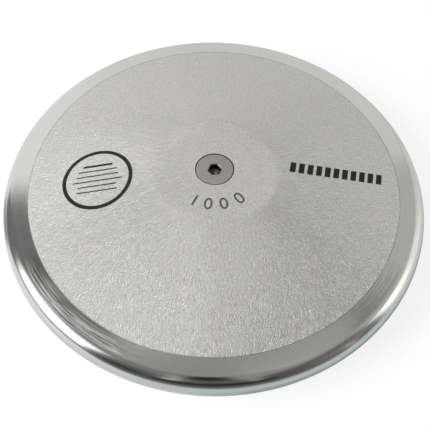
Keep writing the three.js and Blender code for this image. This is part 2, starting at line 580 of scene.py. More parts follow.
@dataclass(frozen=True)
class GalvanisedSheetFinish:
    """Mild steel sheet, ground from the middle outwards and then electro-galvanised.

    The eye gets a matt silver-grey with short, crossing streaks, deeper where it was ground harder.
    The zinc's grain is far finer in truth, and is drawn as coarse as it needs to be to show. Each
    swirl is a lean in radians with its share of the streaks. Each patch of painted light is a
    bearing in degrees with the amount by which the zinc's colour is lighter there; a negative
    amount is painted shade. Like the grain's colour, it keeps to the tapers and fades to half
    towards the back.
    """

    light: str = "#d6d5d4"
    dark: str = "#c1c0bf"
    metal: float = 0.65
    streak_width: float = 0.27 * MM
    streak_length: float = 3.1 * MM
    streak_radius: float = 60 * MM
    streak_depth: float = 0.68 * MM
    streak_range: Point = (0.27, 0.43)
    swirls: Mapping[float, float] = field(default_factory=lambda: {-0.4: 0.29, 0.05: 0.19, 0.5: 0.22})
    grain: float = 0.32 * MM
    grain_detail: float = 1.0
    grain_range: Point = (0.25, 0.75)
    grain_shares: Point = (0.33, 0.08)
    worked_radii: Point = (20 * MM, 34 * MM)
    worked_shares: Point = (0.08, 1.0)
    roughness: Point = (0.22, 0.42)
    painted_light_patches: Mapping[float, float] = field(
        default_factory=lambda: {0.0: 0.5, 180.0: 0.5, 240.0: 0.5, 297.0: -0.5}
    )
    painted_light_spread: Point = (0.84, 1.0)
    ground_side: Sequence[float] = (-0.1, -1.0, 0.0)
    ground_reach: float = 60 * MM
    ground_range: Point = (-0.6, 0.6)
    ground_shares: Point = (0.5, 1.0)
    # Dirt with painted shade in the punched figures, and painted shade in the gap round the screw's head.
    dirt_and_shade: str = "#6d6b68"
    gap_shade: str = "#232120"
    gap_radius: float = 9 * MM
    flat_height: float = 18.5 * MM
    dirt_and_shade_depth: float = 0.1 * MM
    dirt_and_shade_floor: float = 0.85 * MM
    marks_radius: float = 24 * MM

    def build(self) -> Material:
        """Makes the material.

        Returns:
            The material.
        """
        material = new_material("electro_galvanised_sheet")
        tree = material.node_tree
        place = RoundPlace(tree)
        streaks = self._streaks(tree, place)
        inputs = {"Vector": place.position, "Scale": 1 / self.grain, "Detail": self.grain_detail}
        specks = add_node(tree, "ShaderNodeTexNoise", inputs)["Fac"]
        bend = (place.radius, *self.worked_radii)
        worked = add_node(tree, "ShaderNodeMapRange", (*bend, *self.worked_shares))[0]
        fine = add_node(tree, "ShaderNodeMapRange", (*bend, *self.grain_shares))[0]
        grain = add_node(tree, "ShaderNodeMath", (specks, fine), operation="MULTIPLY")[0]
        even = add_node(tree, "ShaderNodeMath", (streaks, worked, grain), operation="MULTIPLY_ADD")[0]
        ground = self._ground(tree, place)
        relief = add_node(tree, "ShaderNodeMath", (even, ground), operation="MULTIPLY")[0]
        grain_and_painted_light = self._draw_grain_and_painted_light(tree, place, specks)
        # The grain's colour and the painted light keep to the tapers and fade to half towards the back.
        for limit in (worked, ground):
            grain_and_painted_light = add_node(tree, "ShaderNodeMath", (grain_and_painted_light, limit), operation="MULTIPLY")[0]
        # Painted shade in the gap round the screw's head; dirt with painted shade in the punched figures.
        gap = (place.radius, self.gap_radius, self.gap_radius + self.dirt_and_shade_depth, 0.0, 1.0)
        dirt_and_shade = layered(tree, self.gap_shade, (add_node(tree, "ShaderNodeMapRange", gap)[0], self.dirt_and_shade))
        colour = layered(tree, self.dark, (grain_and_painted_light, self.light), (self._find_dirt_and_shade(tree, place), dirt_and_shade))
        limits = (streaks, *self.streak_range, *self.roughness)
        roughness = add_node(tree, "ShaderNodeMapRange", limits)[0]
        surface = {"Base Color": colour, "Metallic": self.metal, "Roughness": roughness}
        add_surface(tree, surface, relief, self.streak_depth)
        return material

    def _streaks(self, tree: Tree, place: RoundPlace) -> Socket:
        """Draws the grinding streaks, as several sets that cross.

        Args:
            tree: The material's node tree.
            place: Where a point lies.

        Returns:
            Their height.
        """
        streaks: Socket | float = 0.0
        for swirl, share in self.swirls.items():
            vector = place.stretched(self.streak_width, self.streak_length, self.streak_radius, swirl)
            inputs = {"Vector": vector, "Scale": 1.0, "Detail": 0.0}
            one_set = add_node(tree, "ShaderNodeTexNoise", inputs)["Fac"]
            streaks = add_node(tree, "ShaderNodeMath", (one_set, share, streaks), operation="MULTIPLY_ADD")[0]
        return streaks

    def _ground(self, tree: Tree, place: RoundPlace) -> Socket:
        """Says how hard the sheet was ground, which is more on one side; the painted light follows it too.

        Args:
            tree: The material's node tree.
            place: Where a point lies.

        Returns:
            The share, which is one where it was ground hardest.
        """
        inputs = (place.position, [value / self.ground_reach for value in self.ground_side])
        across = add_node(tree, "ShaderNodeVectorMath", inputs, operation="DOT_PRODUCT")["Value"]
        return add_node(tree, "ShaderNodeMapRange", (across, *self.ground_range, *self.ground_shares))[0]

    def _draw_grain_and_painted_light(self, tree: Tree, place: RoundPlace, specks: Socket) -> Socket:
        """Draws the zinc's crystals, with painted light and shade in a few patches by bearing.

        Args:
            tree: The material's node tree.
            place: Where a point lies.
            specks: The noise of the crystals.

        Returns:
            How light the zinc is.
        """
        grain_and_painted_light = add_node(tree, "ShaderNodeMapRange", (specks, *self.grain_range, 0.0, 1.0))[0]
        # Painted light and shade: the zinc's colour is lighter towards some bearings and darker towards one.
        for bearing, amount in self.painted_light_patches.items():
            inputs = (place.toward(bearing), *self.painted_light_spread, 0.0, amount)
            patch = add_node(tree, "ShaderNodeMapRange", inputs)[0]
            grain_and_painted_light = add_node(tree, "ShaderNodeMath", (grain_and_painted_light, patch), operation="ADD")[0]
        return grain_and_painted_light

    def _find_dirt_and_shade(self, tree: Tree, place: RoundPlace) -> Socket:
        """Finds where the colour darkens below the flat: the figures and the gap round the screw's head.

        Args:
            tree: The material's node tree.
            place: Where a point lies.

        Returns:
            A mask.
        """
        height = add_node(tree, "ShaderNodeMath", (place.height,), operation="ABSOLUTE")[0]
        foot = self.flat_height - self.dirt_and_shade_floor
        limits = (
            (height, self.flat_height - self.dirt_and_shade_depth, self.flat_height, 1.0, 0.0),
            (height, foot - self.dirt_and_shade_depth, foot, 0.0, 1.0),
            (place.radius, self.marks_radius, self.marks_radius + self.dirt_and_shade_depth, 1.0, 0.0),
        )
        mask: Socket | float = 1.0
        for limit in limits:
            inside = add_node(tree, "ShaderNodeMapRange", limit)[0]
            mask = add_node(tree, "ShaderNodeMath", (mask, inside), operation="MULTIPLY")[0]
        return mask


@dataclass(frozen=True)
class StainlessScrewFinish:
    """A2 stainless steel, cold headed and faced on a lathe.

    The eye gets a warm satin grey with faint rings round the socket, which are drawn coarser than
    real ones so that they show, dirt and painted shade down in the socket, and painted shade in
    the gap round the head. Depths of both are measured down from the head's top.
    """

    light: str = "#a7a4a1"
    dark: str = "#94918d"
    # Dirt with painted shade in the socket, and painted shade in the gap round the head.
    dirt_and_shade: str = "#5a554f"
    gap_shade: str = "#1c1b1a"
    ring_length: float = 6 * MM
    measured_at: float = 6 * MM
    ring_spacing: float = 0.35 * MM
    ring_detail: float = 2.0
    ring_depth: float = 0.008 * MM
    roughness: Point = (0.31, 0.44)
    head_top: float = 18.35 * MM
    socket_radius: float = 3.1 * MM
    socket_depths: Point = (1.6 * MM, 0.2 * MM)
    land_radius: float = 7.8 * MM
    gap_depths: Point = (0.25 * MM, 0.1 * MM)
    dirt_and_shade_edge: float = 0.1 * MM

    def build(self) -> Material:
        """Makes the material.

        Returns:
            The material.
        """
        material = new_material("faced_stainless_steel")
        tree = material.node_tree
        place = RoundPlace(tree)
        rings = place.lathe_marks(self.ring_length, self.ring_spacing, self.measured_at, self.ring_detail)
        inside = (self.socket_radius, self.socket_radius + self.dirt_and_shade_edge, 1.0, 0.0)
        outside = (self.land_radius - self.dirt_and_shade_edge, self.land_radius, 0.0, 1.0)
        # Dirt with painted shade in the socket, and painted shade in the gap round the head.
        in_socket = self._find_dirt_and_shade(tree, place, self.socket_depths, inside)
        in_gap = self._find_dirt_and_shade(tree, place, self.gap_depths, outside)
        coats = ((rings, self.light), (in_socket, self.dirt_and_shade), (in_gap, self.gap_shade))
        colour = layered(tree, self.dark, *coats)
        roughness = add_node(tree, "ShaderNodeMapRange", (rings, *NOISE_RANGE, *self.roughness))[0]
        surface = {"Base Color": colour, "Metallic": 1.0, "Roughness": roughness}
        add_surface(tree, surface, rings, self.ring_depth)
        return material

    def _find_dirt_and_shade(self, tree: Tree, place: RoundPlace, depths: Point, ring: Sequence[float]) -> Socket:
        """Finds one darkened place: the socket, with dirt and painted shade, or the gap, with painted shade.

        Args:
            tree: The material's node tree.
            place: Where a point lies.
            depths: The depth at which the dark colour is full, and that above which there is none.
            ring: Two radii, and the share at each.

        Returns:
            A mask.
        """
        height = add_node(tree, "ShaderNodeMath", (place.height,), operation="ABSOLUTE")[0]
        heights = [self.head_top - depth for depth in depths]
        below = add_node(tree, "ShaderNodeMapRange", (height, *heights, 1.0, 0.0))[0]
        within = add_node(tree, "ShaderNodeMapRange", (place.radius, *ring))[0]
        return add_node(tree, "ShaderNodeMath", (below, within), operation="MULTIPLY")[0]


@dataclass(frozen=True)
class OiledCoreSteelFinish:
    """Low-carbon steel bar, turned and oiled against rust.

    The eye gets a darker grey than the plates, with coarse feed marks.
    """

    light: str = "#a2a3a2"
    dark: str = "#868787"
    cloud_size: float = 6 * MM
    cloud_detail: float = 3.0
    feed_length: float = 20 * MM
    measured_at: float = 12 * MM
    feed: float = 0.4 * MM
    feed_detail: float = 1.0
    feed_depth: float = 0.02 * MM
    roughness: Point = (0.3, 0.45)

    def build(self) -> Material:
        """Makes the material.

        Returns:
            The material.
        """
        material = new_material("oiled_turned_steel")
        tree = material.node_tree
        place = RoundPlace(tree)
        feed = place.lathe_marks(self.feed_length, self.feed, self.measured_at, self.feed_detail)
        inputs = {"Vector": place.position, "Scale": 1 / self.cloud_size, "Detail": self.cloud_detail}
        cloud = add_node(tree, "ShaderNodeTexNoise", inputs)["Fac"]
        colour = layered(tree, self.dark, (cloud, self.light))
        roughness = add_node(tree, "ShaderNodeMapRange", (cloud, *NOISE_RANGE, *self.roughness))[0]
        surface = {"Base Color": colour, "Metallic": 1.0, "Roughness": roughness}
        add_surface(tree, surface, feed, self.feed_depth)
        return material


@dataclass(frozen=True)
class PadPrintInkFinish:
    """Two-part black ink, pad printed on the zinc.

    The eye gets a near black film that is a little thinner over the sheet's grain, which is drawn
    coarser than it is so that it shows.
    """

    full: str = "#121211"
    thin: str = "#242422"
    grain: float = 0.7 * MM
    grain_detail: float = 2.0
    thin_range: Point = (0.35, 0.75)
    gloss: float = 0.25
    roughness: Point = (0.42, 0.6)

    def build(self) -> Material:
        """Makes the material.

        Returns:
            The material.
        """
        material = new_material("pad_print_ink")
        tree = material.node_tree
        place = add_node(tree, "ShaderNodeTexCoord")["Object"]
        inputs = {"Vector": place, "Scale": 1 / self.grain, "Detail": self.grain_detail}
        grain = add_node(tree, "ShaderNodeTexNoise", inputs)["Fac"]
        thinned = add_node(tree, "ShaderNodeMapRange", (grain, *self.thin_range, 0.0, 1.0))[0]
        colour = layered(tree, self.full, (thinned, self.thin))
        roughness = add_node(tree, "ShaderNodeMapRange", (grain, *NOISE_RANGE, *self.roughness))[0]
        surface = {"Base Color": colour, "Specular IOR Level": self.gloss, "Roughness": roughness}
        add_surface(tree, surface)
        return material


def install(piece: Piece, material: Material, slot: str, *nodes: str) -> None:
    """Gives a finished piece its material, and puts it on the frame.

    Args:
        piece: The finished piece.
        material: Its material.
        slot: Not used.
        nodes: The CAD nodes that it stands for.
    """
    piece.data.materials.clear()
    piece.data.materials.append(material)
    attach(piece, ROOT_BODY)
    if nodes:
        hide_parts(*nodes)
    LOG.info("%s: %d faces, %s", piece.name, len(piece.data.polygons), material.name)


@dataclass
class Rim:
    """The turned ring: nose, outer tapers, a recess for each plate and the groove in its bore."""

    form: DiscusForm
    ledge_width: float = 4.5 * MM
    lip_thickness: float = 2.6 * MM
    groove_depth: float = 6.1 * MM
    groove_fillet: float = 2 * MM
    recess_round: float = 0.04 * MM
    support_width: float = 0.5 * MM
    sides: int = 288
    nose_steps: int = 56
    fillet_steps: int = 8

    def build(self) -> None:
        """Turns the ring and puts it on the frame."""
        form = self.form
        lip_radius = form.recess_radius - self.ledge_width
        groove_radius = lip_radius + self.groove_depth
        ledge_depth = form.plate_thickness + form.seat_gap
        groove_top = form.taper_height(lip_radius, ledge_depth) - self.lip_thickness
        fillet_radius = groove_radius - self.groove_fillet
        fillet_height = groove_top - self.groove_fillet
        nose_half = math.pi / 2 - form.taper
        touch = form.nose_centre + form.nose_radius * math.cos(nose_half)
        support = touch - self.support_width
        corner = (form.recess_radius, form.taper_height(form.recess_radius))
        ledge_foot = (form.recess_radius, form.taper_height(form.recess_radius, ledge_depth))
        ledge_edge = (lip_radius, form.taper_height(lip_radius, ledge_depth))
        lip_edge = (lip_radius, groove_top)

        lathe = Lathe("rim_ring", (touch, -form.taper_height(touch)))
        lathe.arc((form.nose_centre, 0.0), 2 * nose_half, self.nose_steps)
        lathe.line((support, form.taper_height(support)), corner, ledge_foot, ledge_edge, lip_edge)
        lathe.line((fillet_radius, groove_top))
        lathe.arc((fillet_radius, fillet_height), -math.pi / 2, self.fillet_steps)
        lathe.line((groove_radius, -fillet_height))
        lathe.arc((fillet_radius, -fillet_height), -math.pi / 2, self.fillet_steps)
        below = [(radius, -height) for radius, height in (lip_edge, ledge_edge, ledge_foot, corner)]
        lathe.line(*below, (support, -form.taper_height(support)))
        rounded = {corner: self.recess_round, below[-1]: self.recess_round}
        ring = lathe.turn(self.sides, rounded)
        smooth(ring)
        install(ring, TurnedSteelFinish().build(), "turned_steel", "rim")


@dataclass
class SidePlates:
    """The two pressed plates, with punched figures on the upper one; bearings in degrees from +X."""

    form: DiscusForm
    bend_radius: float = 18 * MM
    bend_steps: int = 14
    sides: int = 288
    hole_round: float = 0.08 * MM
    edge_round: float = 0.05 * MM
    figures: str = "1000"
    figure_bearings: Sequence[float] = (-115.7, -97.2, -76.7, -54.5)
    figure_radius: float = 17.95 * MM
    figure_size: float = 7.8 * MM
    figure_depth: float = 0.45 * MM
    figure_bevel: float = 0.1 * MM
    figure_thinning: float = -0.06 * MM
    figure_bevel_steps: int = 2

    def build(self) -> dict[Side, Piece]:
        """Presses both plates and puts them on the frame.

        Returns:
            The plates.
        """
        upper = self._pressed()
        plates = {Side.UPPER: upper, Side.LOWER: copy_of(upper, "lower_plate")}
        turn_over(plates[Side.LOWER])
        for figure, bearing in zip(self.figures, self.figure_bearings, strict=True):
            cut(upper, self._punch(figure, math.radians(bearing)))
        material = GalvanisedSheetFinish().build()
        for side, plate in plates.items():
            smooth(plate)
            install(plate, material, "zinc_plate", f"{side.value}_side_plate")
        return plates

    def _pressed(self) -> Piece:
        """Turns the upper plate: flat centre, bend, taper, rounded edge and countersunk hole.

        Returns:
            The plate.
        """
        form = self.form
        underside = form.half_thickness - form.plate_thickness
        bend_start = form.flat_radius - self.bend_radius * math.tan(form.taper / 2)
        bend_centre = (bend_start, form.half_thickness - self.bend_radius)
        bend_end = bend_centre[0] + self.bend_radius * math.sin(form.taper)
        edge = (form.plate_radius, form.taper_height(form.plate_radius))
        hole_edge = (form.sink_radius(form.half_thickness), form.half_thickness)

        lathe = Lathe("upper_plate", (form.sink_radius(underside), underside))
        lathe.line((bend_start, underside))
        lathe.arc(bend_centre, -form.taper, self.bend_steps)
        lathe.line((form.plate_radius, form.taper_height(form.plate_radius, form.plate_thickness)), edge)
        lathe.line((bend_end, form.taper_height(bend_end)))
        lathe.arc(bend_centre, form.taper, self.bend_steps)
        lathe.line(hole_edge, (form.sink_radius(form.cone_top), form.cone_top))
        return lathe.turn(self.sides, {edge: self.edge_round, hole_edge: self.hole_round})

    def _punch(self, figure: str, bearing: float) -> Piece:
        """Makes the punch of one figure, half sunk in the flat, with its foot away from the screw.

        Args:
            figure: The figure that it leaves.
            bearing: The direction from the centre to the figure.

        Returns:
            The cutter.
        """
        bpy.ops.object.select_all(action="DESELECT")
        bpy.ops.object.text_add(location=(0, 0, 0))
        letter = bpy.context.object.data
        letter.body = figure
        letter.size = self.figure_size
        letter.align_x = letter.align_y = "CENTER"
        letter.extrude = self.figure_depth - self.figure_bevel
        letter.bevel_depth = self.figure_bevel
        letter.bevel_resolution = self.figure_bevel_steps
        letter.offset = self.figure_thinning
        bpy.ops.object.convert(target="MESH")
        punch = bpy.context.object
        bpy.ops.object.mode_set(mode="EDIT")
        weld_all()
        bpy.ops.mesh.normals_make_consistent(inside=False)
        bpy.ops.object.mode_set(mode="OBJECT")
        away = Vector((math.cos(bearing), math.sin(bearing), 0))
        punch.location = away * self.figure_radius + Vector((0, 0, self.form.half_thickness))
        punch.rotation_euler.z = bearing + math.pi / 2
        apply_place(punch)
        return punch


@dataclass
class CentreScrews:
    """The two countersunk screws with a hexagon socket.

    A turn is the angle in degrees from +X to a corner of the hexagon.
    """

    form: DiscusForm
    length: float = 16 * MM
    shank_chamfer: float = 1 * MM
    socket_width: float = 5 * MM
    socket_depth: float = 3 * MM
    socket_chamfer: float = 0.4 * MM
    drill_depth: float = 1.2 * MM
    overrun: float = 1 * MM
    sides: int = 96
    drill_sides: int = 48
    turns: Mapping[Side, float] = field(default_factory=lambda: {Side.UPPER: 10.6, Side.LOWER: 38.0})

    def build(self) -> None:
        """Makes both screws and puts them on the frame."""
        upper = self._blank()
        screws = {Side.UPPER: upper, Side.LOWER: copy_of(upper, "lower_screw")}
        for side, screw in screws.items():
            self._cut_socket(screw, math.radians(self.turns[side] - 90))
        turn_over(screws[Side.LOWER])
        material = StainlessScrewFinish().build()
        for side, screw in screws.items():
            smooth(screw)
            install(screw, material, "screw_steel", f"{side.value}_centre_screw")

    def _blank(self) -> Piece:
        """Turns the upper screw without its socket.

        Returns:
            The screw.
        """
        form = self.form
        shank_end = form.head_top - self.length
        cone_foot = form.cone_top - (form.head_radius - form.screw_radius)
        rim_edge = (form.head_radius, form.head_top)
        lathe = Lathe("upper_screw", (0.0, shank_end))
        lathe.line((form.screw_radius - self.shank_chamfer, shank_end))
        lathe.line((form.screw_radius, shank_end + self.shank_chamfer), (form.screw_radius, cone_foot))
        lathe.line((form.head_radius, form.cone_top), rim_edge, (0.0, form.head_top))
        return lathe.turn(self.sides, {rim_edge: form.edge_round})

    def _cut_socket(self, screw: Piece, turn: float) -> None:
        """Cuts the hexagon, its chamfered mouth and the drill point under it.

        Args:
            screw: The screw, facing up.
            turn: How far the hexagon's first corner is turned from +Y, in radians.
        """
        corner = self.socket_width / 2 / math.cos(math.pi / HEXAGON_SIDES)
        above = self.form.head_top + self.overrun
        floor = self.form.head_top - self.socket_depth
        depth = self.socket_depth + self.overrun
        mouth = self.socket_chamfer + self.overrun
        cutters = (
            (HEXAGON_SIDES, turn, corner, corner, depth, above),
            (HEXAGON_SIDES, turn, corner, corner + mouth, mouth, above),
            (self.drill_sides, 0.0, 0.0, self.socket_width / 2, self.drill_depth, floor),
        )
        for sides, angle, foot_radius, top_radius, height, top in cutters:
            cutter = added(
                bpy.ops.mesh.primitive_cone_add,
                "cutter",
                vertices=sides,
                radius1=foot_radius,
                radius2=top_radius,
                depth=height,
                location=(0, 0, top - height / 2),
                rotation=(0, 0, angle),
            )
            cut(screw, cutter)


@dataclass
class Core:
    """The hidden core: a flange behind each flat centre and the threaded sleeve between them."""

    form: DiscusForm
    flange_radius: float = 23 * MM
    flange_thickness: float = 2 * MM
    boss_radius: float = 12 * MM
    boss_height: float = 4 * MM
    boss_fillet: float = 1.5 * MM
    sleeve_radius: float = 9 * MM
    sleeve_chamfer: float = 0.8 * MM
    sides: int = 96
    fillet_steps: int = 6

    @property
    def flange_top(self) -> float:
        """Height of the flange's upper face."""
        return self.form.half_thickness - self.form.plate_thickness - self.form.seat_gap

    def build(self) -> None:
        """Turns the core's pieces and puts them on the frame."""
        upper = self._flange()
        lower = copy_of(upper, "lower_flange")
        turn_over(lower)
        pieces = {"upper_core_flange": upper, "lower_core_flange": lower, "core_sleeve": self._sleeve()}
        material = OiledCoreSteelFinish().build()
        for node, piece in pieces.items():
            smooth(piece)
            install(piece, material, "core_steel", node)

    def _flange(self) -> Piece:
        """Turns the upper flange with its boss and the seat for the screw's cone.

        Returns:
            The flange.
        """
        form = self.form
        top = self.flange_top
        foot = top - self.flange_thickness
        boss_foot = top - self.boss_height
        seat_foot = form.cone_top - (form.head_radius + form.head_gap - form.hole_radius)
        fillet_centre = (self.boss_radius + self.boss_fillet, foot - self.boss_fillet)
        lower_edge = (self.flange_radius, foot)
        upper_edge = (self.flange_radius, top)
        lathe = Lathe("upper_flange", (form.hole_radius, boss_foot))
        lathe.line((self.boss_radius, boss_foot), (self.boss_radius, foot - self.boss_fillet))
        lathe.arc(fillet_centre, -math.pi / 2, self.fillet_steps)
        lathe.line(lower_edge, upper_edge, (form.sink_radius(top), top), (form.hole_radius, seat_foot))
        return lathe.turn(self.sides, {lower_edge: form.edge_round, upper_edge: form.edge_round})

    def _sleeve(self) -> Piece:
        """Turns the sleeve with a chamfer at each end of its bore.

        Returns:
            The sleeve.
        """
        form = self.form
        top = self.flange_top - self.boss_height - form.seat_gap
        bore = form.hole_radius
        edge = (self.sleeve_radius, top)
        foot_edge = (self.sleeve_radius, -top)
        lathe = Lathe("sleeve", (bore, -top + self.sleeve_chamfer))
        lathe.line((bore + self.sleeve_chamfer, -top), foot_edge, edge)
        lathe.line((bore + self.sleeve_chamfer, top), (bore, top - self.sleeve_chamfer))
        return lathe.turn(self.sides, {edge: form.edge_round, foot_edge: form.edge_round})


@dataclass
class Prints:
    """Plain black prints on the upper plate: a ring with ruled lines and a row of slanted bars.

    Centres and starts are places on the plate, and tilts are in degrees.
    """

    form: DiscusForm
    plate: Piece
    film: float = 0.025 * MM
    ring_centre: Point = (-49.0 * MM, -3.1 * MM)
    ring_radius: float = 14.95 * MM
    ring_width: float = 1.65 * MM
    ring_sides: int = 160
    rule_spacing: float = 2.6 * MM
    rule_lengths: Sequence[float] = (12.4 * MM, 16.6 * MM, 18 * MM, 21 * MM, 16.4 * MM, 17 * MM)
    rule_width: float = 0.55 * MM
    head_rule_width: float = 1.05 * MM
    rule_top: float = 6.9 * MM
    rule_tilt: float = 3.5
    bar_count: int = 11
    bar_start: Point = (31.6 * MM, 0.3 * MM)
    bar_pitch: float = 3.74 * MM
    bar_width: float = 2.45 * MM
    bar_height: float = 5.2 * MM
    bar_slant: float = 0.9 * MM
    bar_tilt: float = 0.4
    rule_cuts: int = 12
    bar_cuts: int = 7

    @property
    def above(self) -> float:
        """Height from which a print is laid down on the plate."""
        return self.form.half_thickness + MM

    def build(self) -> None:
        """Prints everything and puts it on the frame."""
        ink = PadPrintInkFinish().build()
        for piece in (self._ring(), self._rules(), self._bars()):
            self._lay(piece)
            install(piece, ink, "zinc_plate")

    def _ring(self) -> Piece:
        """Makes a flat ring: a disc, inset, with its middle deleted.

        Returns:
            The ring, above the plate.
        """
        ring = added(
            bpy.ops.mesh.primitive_circle_add,
            "print_ring",
            vertices=self.ring_sides,
            radius=self.ring_radius,
            fill_type="NGON",
            location=(*self.ring_centre, self.above),
        )
        bpy.ops.object.mode_set(mode="EDIT")
        bpy.ops.mesh.select_all(action="SELECT")
        bpy.ops.mesh.inset(thickness=self.ring_width)
        bpy.ops.mesh.delete(type="FACE")
        bpy.ops.object.mode_set(mode="OBJECT")
        return ring

    def _strip(self, name: str, length: float, width: float, cuts: int) -> Piece:
        """Makes a flat strip along X, cut so that it can follow the plate.

        Args:
            name: Its name.
            length: Its length along X.
            width: Its width along Y.
            cuts: How often it is cut each way.

        Returns:
            The strip, at the origin.
        """
        strip = added(bpy.ops.mesh.primitive_plane_add, name, size=1)
        strip.scale = (length, width, 1)
        apply_place(strip)
        bpy.ops.object.mode_set(mode="EDIT")
        bpy.ops.mesh.select_all(action="SELECT")
        bpy.ops.mesh.subdivide(number_cuts=cuts)
        bpy.ops.object.mode_set(mode="OBJECT")
        return strip

    def _put(self, strip: Piece, start: Point, tilt: float, offset: Point) -> None:
        """Puts a strip above the plate.

        Args:
            strip: The strip, at the origin.
            start: The place that it is turned about.
            tilt: How far it is turned, in degrees.
            offset: Its place before the turn, from that start.
        """
        turn = Matrix.Rotation(math.radians(tilt), 4, "Z")
        move = Matrix.Translation((*start, self.above))
        strip.matrix_world = move @ turn @ Matrix.Translation((*offset, 0))
        apply_place(strip)

    def _rules(self) -> Piece:
        """Makes the ruled lines inside the ring, the first one shorter and bolder.

        Returns:
            The lines, above the plate.
        """
        strips = []
        for row, length in enumerate(self.rule_lengths):
            width = self.rule_width if row else self.head_rule_width
            strip = self._strip("print_rules", length, width, self.rule_cuts)
            self._put(strip, self.ring_centre, self.rule_tilt, (0.0, self.rule_top - row * self.rule_spacing))
            strips.append(strip)
        select_only(strips[0])
        for strip in strips:
            strip.select_set(True)
        bpy.ops.object.join()
        return strips[0]

    def _bars(self) -> Piece:
        """Makes the row of slanted bars.

        Returns:
            The bars, above the plate.
        """
        bar = self._strip("print_bars", self.bar_width, self.bar_height, self.bar_cuts)
        for vertex in bar.data.vertices:
            vertex.co.x += self.bar_slant * vertex.co.y / self.bar_height
        modify(
            bar,
            "ARRAY",
            count=self.bar_count,
            use_relative_offset=False,
            use_constant_offset=True,
            constant_offset_displace=(self.bar_pitch, 0, 0),
        )
        self._put(bar, self.bar_start, self.bar_tilt, (self.bar_width / 2, self.bar_height / 2))
        return bar

    def _lay(self, piece: Piece) -> None:
        """Drops a flat print on the plate and gives the ink its thickness.

        Args:
            piece: The print, above the plate.
        """
        modify(
            piece,
            "SHRINKWRAP",
            target=self.plate,
            wrap_method="PROJECT",
            use_project_z=True,
            use_positive_direction=False,
            use_negative_direction=True,
            offset=self.film,
        )
        modify(piece, "SOLIDIFY", thickness=self.film, offset=-1.0)
        smooth(piece)


@dataclass(frozen=True)
class TentZone:
    """A soft-edged patch of the tent or of painted table light and shade, as the rim sees it; angles in
    degrees.

    Its azimuth moves by lean for each degree that a point lies above its middle, and its upper
    edge may be softer than the others.
    """

    name: str
    azimuth: float
    elevation: float
    half_width: float
    half_height: float
    edge: float
    level: float
    lean: float = 0.0
    top_edge: float = 0.0

    def mask(self, tree: Tree, azimuth: Socket, elevation: Socket) -> Socket:
        """One inside the zone, falling to zero over its soft edges.

        Args:
            tree: The node tree.
            azimuth: The direction round Z, in radians.
            elevation: The direction above the horizon, in radians.

        Returns:
            The mask.
        """
        middle = (elevation, math.radians(self.elevation))
        offset = add_node(tree, "ShaderNodeMath", middle, operation="SUBTRACT")[0]
        leaned = add_node(tree, "ShaderNodeMath", (offset, -self.lean, azimuth), operation="MULTIPLY_ADD")[0]
        centred = (leaned, math.radians(self.azimuth))
        turned = add_node(tree, "ShaderNodeMath", centred, operation="SUBTRACT")[0]
        wrapped = add_node(tree, "ShaderNodeMath", (turned, -math.pi, math.pi), operation="WRAP")[0]
        across = add_node(tree, "ShaderNodeMath", (wrapped,), operation="ABSOLUTE")[0]
        below = add_node(tree, "ShaderNodeMath", (offset, -1.0), operation="MULTIPLY")[0]
        limits = (
            (across, self.half_width, self.edge),
            (offset, self.half_height, self.top_edge or self.edge),
            (below, self.half_height, self.edge),
        )
        mask: Socket | float = 1.0
        for angle, half, edge in limits:
            inputs = (angle, math.radians(half - edge / 2), math.radians(half + edge / 2), 1.0, 0.0)
            inside = add_node(tree, "ShaderNodeMapRange", inputs, interpolation_type="SMOOTHSTEP")[0]
            mask = add_node(tree, "ShaderNodeMath", (mask, inside), operation="MULTIPLY")[0]
        return mask


def painted(
    tree: Tree, azimuth: Socket, elevation: Socket, base: float, zones: Sequence[TentZone]
) -> Socket | float:
    """Paints zones over a base level, each one over those before it.

    Args:
        tree: The node tree.
        azimuth: The direction round Z, in radians.
        elevation: The direction above the horizon, in radians.
        base: The level where no zone lies.
        zones: The zones.

    Returns:
        The level.
    """
    level: Socket | float = base
    for zone in zones:
        inputs = {0: zone.mask(tree, azimuth, elevation), 2: level, 3: zone.level}
        level = add_node(tree, "ShaderNodeMix", inputs, label=zone.name)[0]
    return level


def shown_rays(tree: Tree) -> Socket:
    """One for the rays that see the background: camera, glossy and transmission rays.

    Args:
        tree: The node tree.

    Returns:
        The mask.
    """
    path = add_node(tree, "ShaderNodeLightPath")
    shown = path["Is Camera Ray"]
    for ray in ("Is Glossy Ray", "Is Transmission Ray"):
        shown = add_node(tree, "ShaderNodeMath", (shown, path[ray]), operation="MAXIMUM")[0]
    return shown


